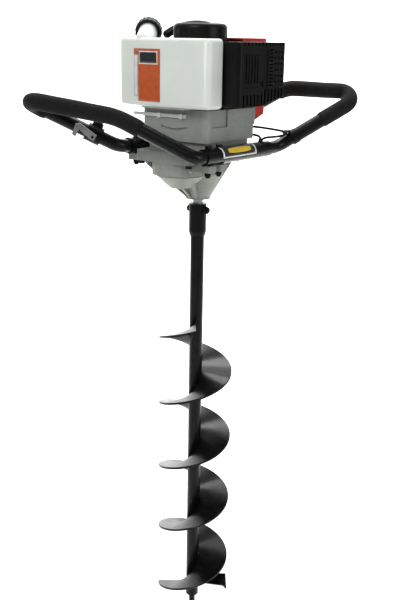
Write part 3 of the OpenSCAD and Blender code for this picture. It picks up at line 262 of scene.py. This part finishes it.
LOOKS = {
    "black_paint": black_paint("look_black_paint", 0.002, 0.005, 0.28, 0.12),
    "dark_iron": black_paint("look_dark_iron", 0.002, 0.005, 0.34, 0.04),
    "cast_grey": cast_metal("look_cast_grey", (0.25, 0.266, 0.24), (0.345, 0.36, 0.328)),
    "steel": steel("look_steel", (0.42, 0.43, 0.44), (0.62, 0.63, 0.64), 0.3, (1, 1, 9)),
    "alloy": cast_metal("look_alloy", (0.42, 0.43, 0.43), (0.56, 0.57, 0.58)),
    "black_plastic": plastic(
        "look_black_plastic", (0.002, 0.0023, 0.0025), (0.005, 0.0055, 0.006), 0.36, shine=0.17),
    "red_plastic": plastic("look_red_plastic", (0.46, 0.022, 0.014), (0.6, 0.04, 0.024), 0.32),
    "tank_plastic": tank_plastic("look_tank_plastic"),
    "grey_plastic": plastic("look_grey_plastic", (0.24, 0.25, 0.245), (0.36, 0.37, 0.36), 0.42),
    "foam": foam("look_foam"),
    "rubber": plastic("look_rubber", (0.002, 0.002, 0.0023), (0.005, 0.005, 0.0055), 0.45, 800.0, 0.16, 0.18),
    "rope": braid("look_rope"),
    "friction_lining": cast_metal("look_lining", (0.12, 0.085, 0.05), (0.24, 0.17, 0.1)),
    "ceramic": plastic("look_ceramic", (0.7, 0.69, 0.64), (0.82, 0.81, 0.77), 0.2, 500.0, 0.03),
}
ORANGE = label("look_label_orange", (0.56, 0.10, 0.022))
PALE = label("look_label_pale", (0.8, 0.8, 0.76))
GREY = label("look_label_grey", (0.42, 0.43, 0.42))
INK = label("look_label_ink", (0.014, 0.015, 0.018))
YELLOW = label("look_label_yellow", (0.85, 0.6, 0.02))
ZINC = cast_metal("look_zinc", (0.6, 0.61, 0.6), (0.74, 0.75, 0.74))

SLOT_OF = {s["node"]: s["material_slot"] for s in frame["record"]["subparts"]}
for node_name, node in NODES.items():
    node.data.materials.clear()
    node.data.materials.append(LOOKS[SLOT_OF[node_name]])
# The photograph shows these with another finish than their slot's
for node_name, look in (
        ("stop_switch", LOOKS["black_plastic"]), ("cross_bolt", LOOKS["dark_iron"]), ("tank_bracket", ZINC)):
    NODES[node_name].data.materials[0] = look


# Mesh helpers


def piece(name, verts, faces, look, smooth=True):
    mesh = bpy.data.meshes.new(name)
    mesh.from_pydata([tuple(v) for v in verts], [], faces)
    mesh.update()
    tidy = bmesh.new()
    tidy.from_mesh(mesh)
    bmesh.ops.recalc_face_normals(tidy, faces=tidy.faces)
    tidy.to_mesh(mesh)
    tidy.free()
    if smooth:
        mesh.shade_smooth()
    mesh.materials.append(look)
    obj = bpy.data.objects.new(name, mesh)
    bpy.context.scene.collection.objects.link(obj)
    return obj


def apply_modifiers(obj):
    graph = bpy.context.evaluated_depsgraph_get()
    graph.update()
    mesh = bpy.data.meshes.new_from_object(obj.evaluated_get(graph))
    obj.modifiers.clear()
    obj.data = mesh


def spline(points, i, t):
    """Point at the share t of the smooth stretch from point i to the next."""
    a, b = points[max(i - 1, 0)], points[i]
    c, d = points[i + 1], points[min(i + 2, len(points) - 1)]
    squared = 2 * a - 5 * b + 4 * c - d
    cubed = 3 * b - a - 3 * c + d
    return 0.5 * (2 * b + (c - a) * t + squared * t * t + cubed * t ** 3)


def smooth_route(points, steps):
    route = [spline(points, i, k / steps) for i in range(len(points) - 1) for k in range(steps)]
    return route + [points[-1]]


def bent_route(points, bends, step):
    """Centre line through points with rounded bends of the given radii, in even steps."""
    route = []
    last = len(points) - 1
    for i, p in enumerate(points):
        if i in (0, last):
            route.append(p)
            continue
        back = (p - points[i - 1]).normalized()
        ahead = (points[i + 1] - p).normalized()
        turn = math.acos(max(-1, min(1, back.dot(ahead))))
        cut = bends[i] * math.tan(turn / 2)
        inward = (ahead - back * back.dot(ahead)).normalized()
        centre = p - back * cut + inward * bends[i]
        count = max(6, int(turn * bends[i] / step))
        for k in range(count + 1):
            a = turn * k / count
            route.append(centre - inward * bends[i] * math.cos(a) + back * bends[i] * math.sin(a))
    filled = [route[0]]
    for a, b in zip(route, route[1:]):
        count = max(1, int((b - a).length / step))
        filled += [a.lerp(b, (k + 1) / count) for k in range(count)]
    return filled


def band_faces(rings, sides, first=0):
    """Faces between neighbouring rings of points, of which the first point has the index first."""
    faces = []
    for k in range(rings - 1):
        for j in range(sides):
            a, b = first + k * sides + j, first + k * sides + (j + 1) % sides
            faces.append((a, b, b + sides, a + sides))
    return faces


def grid_faces(rows, columns):
    return [
        (i * columns + k, i * columns + k + 1, (i + 1) * columns + k + 1, (i + 1) * columns + k)
        for i in range(rows - 1) for k in range(columns - 1)]


def direction_at(route, k):
    return (route[min(k + 1, len(route) - 1)] - route[max(k - 1, 0)]).normalized()


def swept(route, radius_at, sides):
    """Tube round a route; radius_at(k, angle) gives its radius at ring k."""
    verts = []
    side = None
    for k, p in enumerate(route):
        d = direction_at(route, k)
        if side is None:
            side = d.orthogonal().normalized()
        side = (side - d * side.dot(d)).normalized()
        other = d.cross(side)
        for j in range(sides):
            a = 2 * math.pi * j / sides
            verts.append(p + (side * math.cos(a) + other * math.sin(a)) * radius_at(k, a))
    return verts, band_faces(len(route), sides)


def hollow(route, radius_at, bore, sides):
    """Swept tube with a bore of one radius, its ends joined by flat rings."""
    verts, faces = swept(route, radius_at, sides)
    inner, _ = swept(route, lambda k, a: bore, sides)
    base = len(verts)
    for k in (0, len(route) - 1):
        for j in range(sides):
            a, b = k * sides + j, k * sides + (j + 1) % sides
            faces.append((a, b, b + base, a + base))
    return verts + inner, faces + band_faces(len(route), sides, base)


def revolved(profile, sides):
    """Profile of radii and heights in mm, turned round +Z."""
    verts = []
    for r, h in profile:
        for j in range(sides):
            a = 2 * math.pi * j / sides
            verts.append(Vector((r * math.cos(a), r * math.sin(a), h)))
    return verts, band_faces(len(profile), sides)


def close_ends(verts, faces, sides):
    faces.append(tuple(range(sides - 1, -1, -1)))
    faces.append(tuple(range(len(verts) - sides, len(verts))))


def sheet(name, verts, faces, look, thickness):
    """Thin label that stands out from the surface under it."""
    patch = piece(name, verts, faces, look)
    solid = patch.modifiers.new("sheet", "SOLIDIFY")
    solid.thickness = thickness * MM
    solid.offset = 1
    apply_modifiers(patch)
    patch.data.shade_smooth()
    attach(patch, ROOT)


# Cables, along the points of the CAD route

THROTTLE_ROUTE = [
    (-72, 78, 179), (-73, 83, 163), (-66, 91, 148), (-20, 98, 144), (30, 99, 144), (70, 97, 144),
    (92, 104, 142), (104, 117, 139), (109, 128, 136), (107, 135, 131), (102, 132, 127.5), (95, 116, 126),
    (89, 98, 125.5), (86.5, 88, 123), (86, 83.5, 118), (86, 83, 112)]
SWITCH_ROUTE = [
    (45, 80.5, 131), (52, 82, 131), (64, 84.5, 130.5), (76, 86, 129), (83.5, 84, 126), (86, 79, 121.5),
    (86, 77, 117), (86, 77, 112)]
CABLE_R = 2.4
CABLE_SIDES = 16


def raised(points, base):
    """Points in mm above a height, as vectors in metres."""
    return [Vector((x, y, z + base)) * MM for x, y, z in points]


def make_cables():
    verts, faces = [], []
    for points in (THROTTLE_ROUTE, SWITCH_ROUTE):
        route = smooth_route(raised(points, COLLAR_TOP), 10)
        v, f = swept(route, lambda k, a: CABLE_R * MM, CABLE_SIDES)
        close_ends(v, f, CABLE_SIDES)
        faces += [tuple(i + len(verts) for i in face) for face in f]
        verts += v
    cables = piece("control_cable_sheaths", verts, faces, LOOKS["rubber"])
    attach(cables, ROOT)
    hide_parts("control_cables")


make_cables()


# Foam grips

RIGHT_PATH = [
    (86, 0.5, 0), (86, 140, 0), (187, 250, 88), (166, 264, 106),
    (62, 204, 110), (-86, 118, BACK_LIFT), (-86, 0.5, BACK_LIFT)]
RIGHT_BENDS = [0, 40, 19, 19, 60, 22, 0]
LEFT_PATH = [
    (-86, -0.5, BACK_LIFT), (-86, -128, BACK_LIFT), (-196, -235, 82), (-163, -277, 95),
    (-40, -184, 68), (86, -118, 0), (86, -0.5, 0)]
LEFT_BENDS = [0, 40, 26, 26, 140, 22, 0]
GRIP_R = 15.5
GRIP_BORE = 12.79
GRIP_STEP = 3.0
GRIP_FIRST, GRIP_LAST = 1, 4


def make_grip(name, node, path, bends, share_in, share_out):
    """Foam from a share of the path's first leg to a share of its last, with slightly uneven sides."""
    p = raised(path, BAR_Z)
    points = [
        p[GRIP_FIRST].lerp(p[GRIP_FIRST + 1], share_in), *p[GRIP_FIRST + 1:GRIP_LAST + 1],
        p[GRIP_LAST].lerp(p[GRIP_LAST + 1], share_out)]
    radii = [0, *[b * MM for b in bends[GRIP_FIRST + 1:GRIP_LAST + 1]], 0]
    route = bent_route(points, radii, GRIP_STEP * MM)
    count = len(route)
    waves = [random.uniform(0, 6.28) for _ in range(4)]

    def radius(k, a):
        edge = min(k, count - 1 - k)
        ease = GRIP_R if edge > 1 else (GRIP_R - 0.4 if edge == 1 else GRIP_R - 1.6)
        soft = 0.12 * math.sin(k * 0.31 + waves[0] + a) + 0.1 * math.sin(k * 0.13 + waves[1] - 2 * a)
        return (ease + soft - 0.15) * MM

    verts, faces = hollow(route, radius, GRIP_BORE * MM, 32)
    grip = piece(name, verts, faces, LOOKS["foam"])
    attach(grip, ROOT)
    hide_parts(node)


make_grip("foam_grip_right", "grip_right", RIGHT_PATH, RIGHT_BENDS, 0.58, 0.1)
make_grip("foam_grip_left", "grip_left", LEFT_PATH, LEFT_BENDS, 0.85, 0.3)


# Clip that holds the throttle cable's turn, on the band of the right loop

CLIP_TURN = 9
CLIP_FROM = 0.55
CLIP_STEPS = 6
CLIP_R = 4.2
CLIP_GAP = 0.1
CLIP_ARM = [(107.6, 131.5, 1073.4), (105.0, 143.0, 1076.2), (100.6, 154.6, 1076.2), (98.0, 159.0, 1074.2)]
CLIP_W, CLIP_T = 4.5, 1.2
ARM_CORNERS = ((-1, -1), (1, -1), (1, 1), (-1, 1))
SCREW_AT = Vector((104.4, 145.0, 1077.6))
SCREW_PROFILE = [(0.2, 2.2), (1.6, 2.1), (2.9, 1.3), (3.3, 0.4), (3.3, -1.2), (0.2, -1.2)]


def make_clip():
    points = raised(THROTTLE_ROUTE, COLLAR_TOP)
    shares = [CLIP_FROM + (1 - CLIP_FROM) * k / CLIP_STEPS for k in range(CLIP_STEPS + 1)]
    turn = [spline(points, CLIP_TURN - 1, t) for t in shares]
    verts, faces = hollow(turn, lambda k, a: CLIP_R * MM, (CABLE_R + CLIP_GAP) * MM, CABLE_SIDES)
    arm = smooth_route(raised(CLIP_ARM, 0), 5)
    start = len(verts)
    for k, p in enumerate(arm):
        d = direction_at(arm, k)
        across = d.cross(Vector((0, 0, 1))).normalized()
        up = across.cross(d)
        verts += [p + across * (u * CLIP_W * MM) + up * (v * CLIP_T * MM) for u, v in ARM_CORNERS]
    faces += band_faces(len(arm), len(ARM_CORNERS), start)
    faces += [(start + 3, start + 2, start + 1, start), tuple(range(len(verts) - 4, len(verts)))]
    clip = piece("cable_clip", verts, faces, LOOKS["dark_iron"], smooth=False)
    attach(clip, ROOT)
    verts, faces = revolved(SCREW_PROFILE, 20)
    screw = piece("cable_clip_screw", [(SCREW_AT + v) * MM for v in verts], faces, LOOKS["steel"])
    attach(screw, ROOT)


make_clip()


# Flight, finer than its CAD solid

FLIGHT_Z, FLIGHT_PITCH, FLIGHT_TURNS, FLIGHT_T = 88.0, 143.4, 4.25, 5.0
FLIGHT_ANGLE = math.radians(218)
FLIGHT_R, TUBE_R = 75.0, 13.5
FLIGHT_BEVEL = 0.8
FLIGHT_GAP = 0.08
STEPS_PER_TURN = 144


def make_flight():
    inner = TUBE_R + FLIGHT_GAP
    section = [
        (inner, 0), (FLIGHT_R - FLIGHT_BEVEL, 0), (FLIGHT_R, FLIGHT_BEVEL),
        (FLIGHT_R, FLIGHT_T - FLIGHT_BEVEL), (FLIGHT_R - FLIGHT_BEVEL, FLIGHT_T), (inner, FLIGHT_T)]
    rings = round(FLIGHT_TURNS * STEPS_PER_TURN) + 1
    verts = []
    for i in range(rings):
        a = FLIGHT_ANGLE + 2 * math.pi * i / STEPS_PER_TURN
        z = FLIGHT_Z + FLIGHT_PITCH * i / STEPS_PER_TURN
        verts += [Vector((r * math.cos(a), r * math.sin(a), z + h)) * MM for r, h in section]
    faces = band_faces(rings, len(section))
    close_ends(verts, faces, len(section))
    blade = piece("flight_plate", verts, faces, LOOKS["black_paint"])
    blade.data.set_sharp_from_angle(angle=math.radians(30))
    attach(blade, "bit")
    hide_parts("flight")


make_flight()


# Fuel tank with its filler neck

TANK_X0, TANK_L = -110.0, 210.0
TANK_Y0, TANK_Y1 = -109.0, -59.0
TANK_Z, TANK_H = COLLAR_TOP + 187, 120.0
TANK_BULGE = 8.0
TANK_ROUND = 12.0
NECK_BASE = Vector((-59, -88, TANK_Z + TANK_H - 7))
NECK_TILT = math.radians(70)
NECK_TURN = math.radians(123)
NECK_R, NECK_L = 17.6, 57.0
NECK_BORE = 15.0
NECK_FLOOR = 4.0
NECK_EDGE = 0.6
POLE_R = 0.2


def tank_front(x):
    t = (x - TANK_X0) / TANK_L
    return TANK_Y0 + TANK_BULGE * (2 * abs(t - 0.5)) ** 2.6


def make_neck():
    dome = [math.pi / 2 * i / 10 for i in range(11)]
    profile = [(max(POLE_R, NECK_R * math.sin(a)), -NECK_R * math.cos(a)) for a in dome]
    profile += [
        (NECK_R, NECK_L - NECK_EDGE), (NECK_R - NECK_EDGE, NECK_L), (NECK_BORE, NECK_L),
        (NECK_BORE, NECK_FLOOR), (POLE_R, NECK_FLOOR)]
    place = (Matrix.Translation(NECK_BASE * MM) @ Matrix.Rotation(NECK_TURN, 4, "Z")
             @ Matrix.Rotation(NECK_TILT, 4, "Y"))
    verts, faces = revolved(profile, 48)
    return piece("tank_neck", [place @ (v * MM) for v in verts], faces, LOOKS["tank_plastic"])


def make_tank():
    steps = 28
    across = [TANK_X0 + TANK_L * i / steps for i in range(steps + 1)]
    outline = [(TANK_X0, TANK_Y1), *[(x, tank_front(x)) for x in across], (TANK_X0 + TANK_L, TANK_Y1)]
    n = len(outline)
    verts = [Vector((x, y, z)) * MM for z in (TANK_Z, TANK_Z + TANK_H) for x, y in outline]
    faces = [tuple(range(n)), tuple(range(2 * n - 1, n - 1, -1)), *band_faces(2, n)]
    tank = piece("tank_body", verts, faces, LOOKS["tank_plastic"])
    bevel = tank.modifiers.new("round", "BEVEL")
    bevel.width = TANK_ROUND * MM
    bevel.segments = 7
    bevel.limit_method = "ANGLE"
    bevel.angle_limit = math.radians(40)
    bevel.harden_normals = False
    apply_modifiers(tank)
    tank.data.shade_smooth()
    spout = make_neck()
    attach(tank, ROOT)
    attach(spout, ROOT)
    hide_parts("fuel_tank")
    return tank


tank = make_tank()


# Generic labels, without words

LABEL_X0, PANEL_X0, LABEL_X1 = -69.5, -57.5, -4.5
LABEL_Z0, LABEL_Z1 = TANK_Z + 9, TANK_Z + 101
LABEL_STEP = 4.0
LABEL_T = 0.12
CAST_FROM = -200.0
INWARD = Vector((0, 1, 0))
# Name, left, right, bottom, top, lift off the tank and look of each patch
TANK_LABELS = [
    ("tank_label_panel", PANEL_X0, LABEL_X1, LABEL_Z0, LABEL_Z1, 0.15, ORANGE),
    ("tank_label_rim", LABEL_X0 + 1, PANEL_X0 - 1, LABEL_Z0 + 8, LABEL_Z1 - 12.5, 0.15, GREY),
    ("tank_label_edge", LABEL_X0 + 2, PANEL_X0 - 2, LABEL_Z0 + 9, LABEL_Z1 - 13, 0.35, PALE),
    ("tank_label_flag", LABEL_X0 + 1, PANEL_X0, LABEL_Z1 - 11, LABEL_Z1, 0.15, ORANGE),
    ("tank_label_frame", PANEL_X0 + 2, LABEL_X1 - 6, LABEL_Z1 - 27, LABEL_Z1 - 4, 0.35, PALE),
    ("tank_label_plate", PANEL_X0 + 4, LABEL_X1 - 8, LABEL_Z1 - 25, LABEL_Z1 - 6, 0.55, INK)]


def tank_patch(name, x0, x1, z0, z1, lift, look):
    """Upright rectangle whose points are dropped onto the tank's front."""
    skin = BVHTree.FromObject(tank, bpy.context.evaluated_depsgraph_get())
    columns = max(2, int((x1 - x0) / LABEL_STEP))
    rows = max(2, int((z1 - z0) / LABEL_STEP))
    verts = []
    for i in range(columns + 1):
        for k in range(rows + 1):
            start = Vector((x0 + (x1 - x0) * i / columns, CAST_FROM, z0 + (z1 - z0) * k / rows))
            hit, normal, _, _ = skin.ray_cast(start * MM, INWARD)
            outward = -normal if normal.dot(INWARD) > 0 else normal
            verts.append(hit + outward * lift * MM)
    sheet(name, verts, grid_faces(columns + 1, rows + 1), look, LABEL_T)


for patch_of_label in TANK_LABELS:
    tank_patch(*patch_of_label)

SLEEVE_X, SLEEVE_R = 86.0, 15.0
SLEEVE_LABEL_T = 0.1


def sleeve_patch(name, y0, y1, a0, a1, lift, look, taper=0.0):
    """Label patch round the front sleeve between two angles, counted from +X up."""
    ny, na = 24, 12
    r = SLEEVE_R + lift
    verts = []
    for i in range(ny + 1):
        t = i / ny
        y = y0 + (y1 - y0) * t
        trim = taper * (abs(2 * t - 1)) ** 3
        for k in range(na + 1):
            a = math.radians(a0 + trim + (a1 - a0 - 2 * trim) * k / na)
            verts.append(Vector((SLEEVE_X + r * math.cos(a), y, BAR_Z + r * math.sin(a))) * MM)
    sheet(name, verts, grid_faces(ny + 1, na + 1), look, SLEEVE_LABEL_T)


sleeve_patch("sleeve_label_edge", -56, 48, -14, 78, 0.12, PALE)
sleeve_patch("sleeve_label_field", -52, 44, -6, 84, 0.28, INK)
sleeve_patch("sleeve_label_spot", -38, 32, 14, 56, 0.44, YELLOW, 8)


# Starter rope between the housing and the pull handle

STARTER_Z = COLLAR_TOP + 296
STARTER_TURN = VIEW_TURN
ROPE_Z = STARTER_Z + 26
ROPE_R = 1.75
ROPE_SIDES = 16
REEL_R = 27.0
PULL = Vector((-math.sin(STARTER_TURN), math.cos(STARTER_TURN), 0))
ASIDE = Vector((math.cos(STARTER_TURN), math.sin(STARTER_TURN), 0))
ROPE_FROM, ROPE_GUIDE, ROPE_HOLD, ROPE_TO = 16.0, 40.0, 48.0, 60.0


def make_rope():
    start = ASIDE * -REEL_R + Vector((0, 0, ROPE_Z))
    count = 60
    lengths = [ROPE_FROM + (ROPE_TO - ROPE_FROM) * k / count for k in range(count + 1)]
    route = [(start + PULL * length) * MM for length in lengths]
    verts, faces = swept(route, lambda k, a: ROPE_R * MM * (1 + 0.04 * math.sin(3 * a + k * 0.9)), ROPE_SIDES)
    close_ends(verts, faces, ROPE_SIDES)
    rope = piece("starter_cord", verts, faces, LOOKS["rope"])
    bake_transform(rope)
    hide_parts("starter_rope")


make_rope()


# Stage and light, in metres, turned to face the camera

FLOOR_HALF, FLOOR_BACK, FLOOR_CURVE, WALL_TOP = 6.0, 2.5, 1.5, 5.0
TO_VIEW = Matrix.Rotation(VIEW_TURN, 3, "Z")
# Name, place, target, size and power of each light
LIGHTS = [
    ("key", (-1.3, -2.2, 2.9), (0, 0, 0.9), 1.4, 52),
    ("fill", (2.2, -1.4, 1.6), (0, 0, 0.8), 1.4, 15),
    ("top", (0.2, 0.6, 3.2), (0, 0, 0.6), 1.8, 24),
    ("back", (0, 1.3, 3.3), (0, 3.8, 1.3), 3.0, 300)]
WORLD_STRENGTH = 0.22


def make_stage():
    p = Paint("look_floor", Specular_IOR_Level=0.2)
    p.colour(p.ramp(p.noise(0.8, 3), [(0.3, (0.91, 0.91, 0.9)), (0.7, (0.94, 0.94, 0.93))]))
    p.rough(p.span(p.noise(6), 0.75, 0.9))
    bend = [math.pi / 2 * i / 16 for i in range(1, 17)]
    profile = [(-FLOOR_HALF, 0.0), (FLOOR_BACK, 0.0)]
    profile += [(FLOOR_BACK + FLOOR_CURVE * math.sin(a), FLOOR_CURVE * (1 - math.cos(a))) for a in bend]
    profile.append((FLOOR_BACK + FLOOR_CURVE, WALL_TOP))
    verts = [TO_VIEW @ Vector((x, y, z)) for y, z in profile for x in (-FLOOR_HALF, FLOOR_HALF)]
    faces = [(2 * i, 2 * i + 1, 2 * i + 3, 2 * i + 2) for i in range(len(profile) - 1)]
    floor = piece("studio_floor", verts, faces, p.mat)


def area_light(name, place, target, size, power):
    data = bpy.data.lights.new(name, "AREA")
    data.shape = "DISK"
    data.size = size
    data.energy = power
    lamp = bpy.data.objects.new(name, data)
    lamp.location = TO_VIEW @ Vector(place)
    lamp.rotation_euler = (TO_VIEW @ Vector(target) - lamp.location).to_track_quat("-Z", "Y").to_euler()
    bpy.context.scene.collection.objects.link(lamp)


make_stage()
for light in LIGHTS:
    area_light(*light)

world = bpy.data.worlds.new("studio")
world.use_nodes = True
world.node_tree.nodes["Background"].inputs["Color"].default_value = (1, 1, 1, 1)
world.node_tree.nodes["Background"].inputs["Strength"].default_value = WORLD_STRENGTH
bpy.context.scene.world = world
bpy.context.scene.view_settings.view_transform = "Standard"
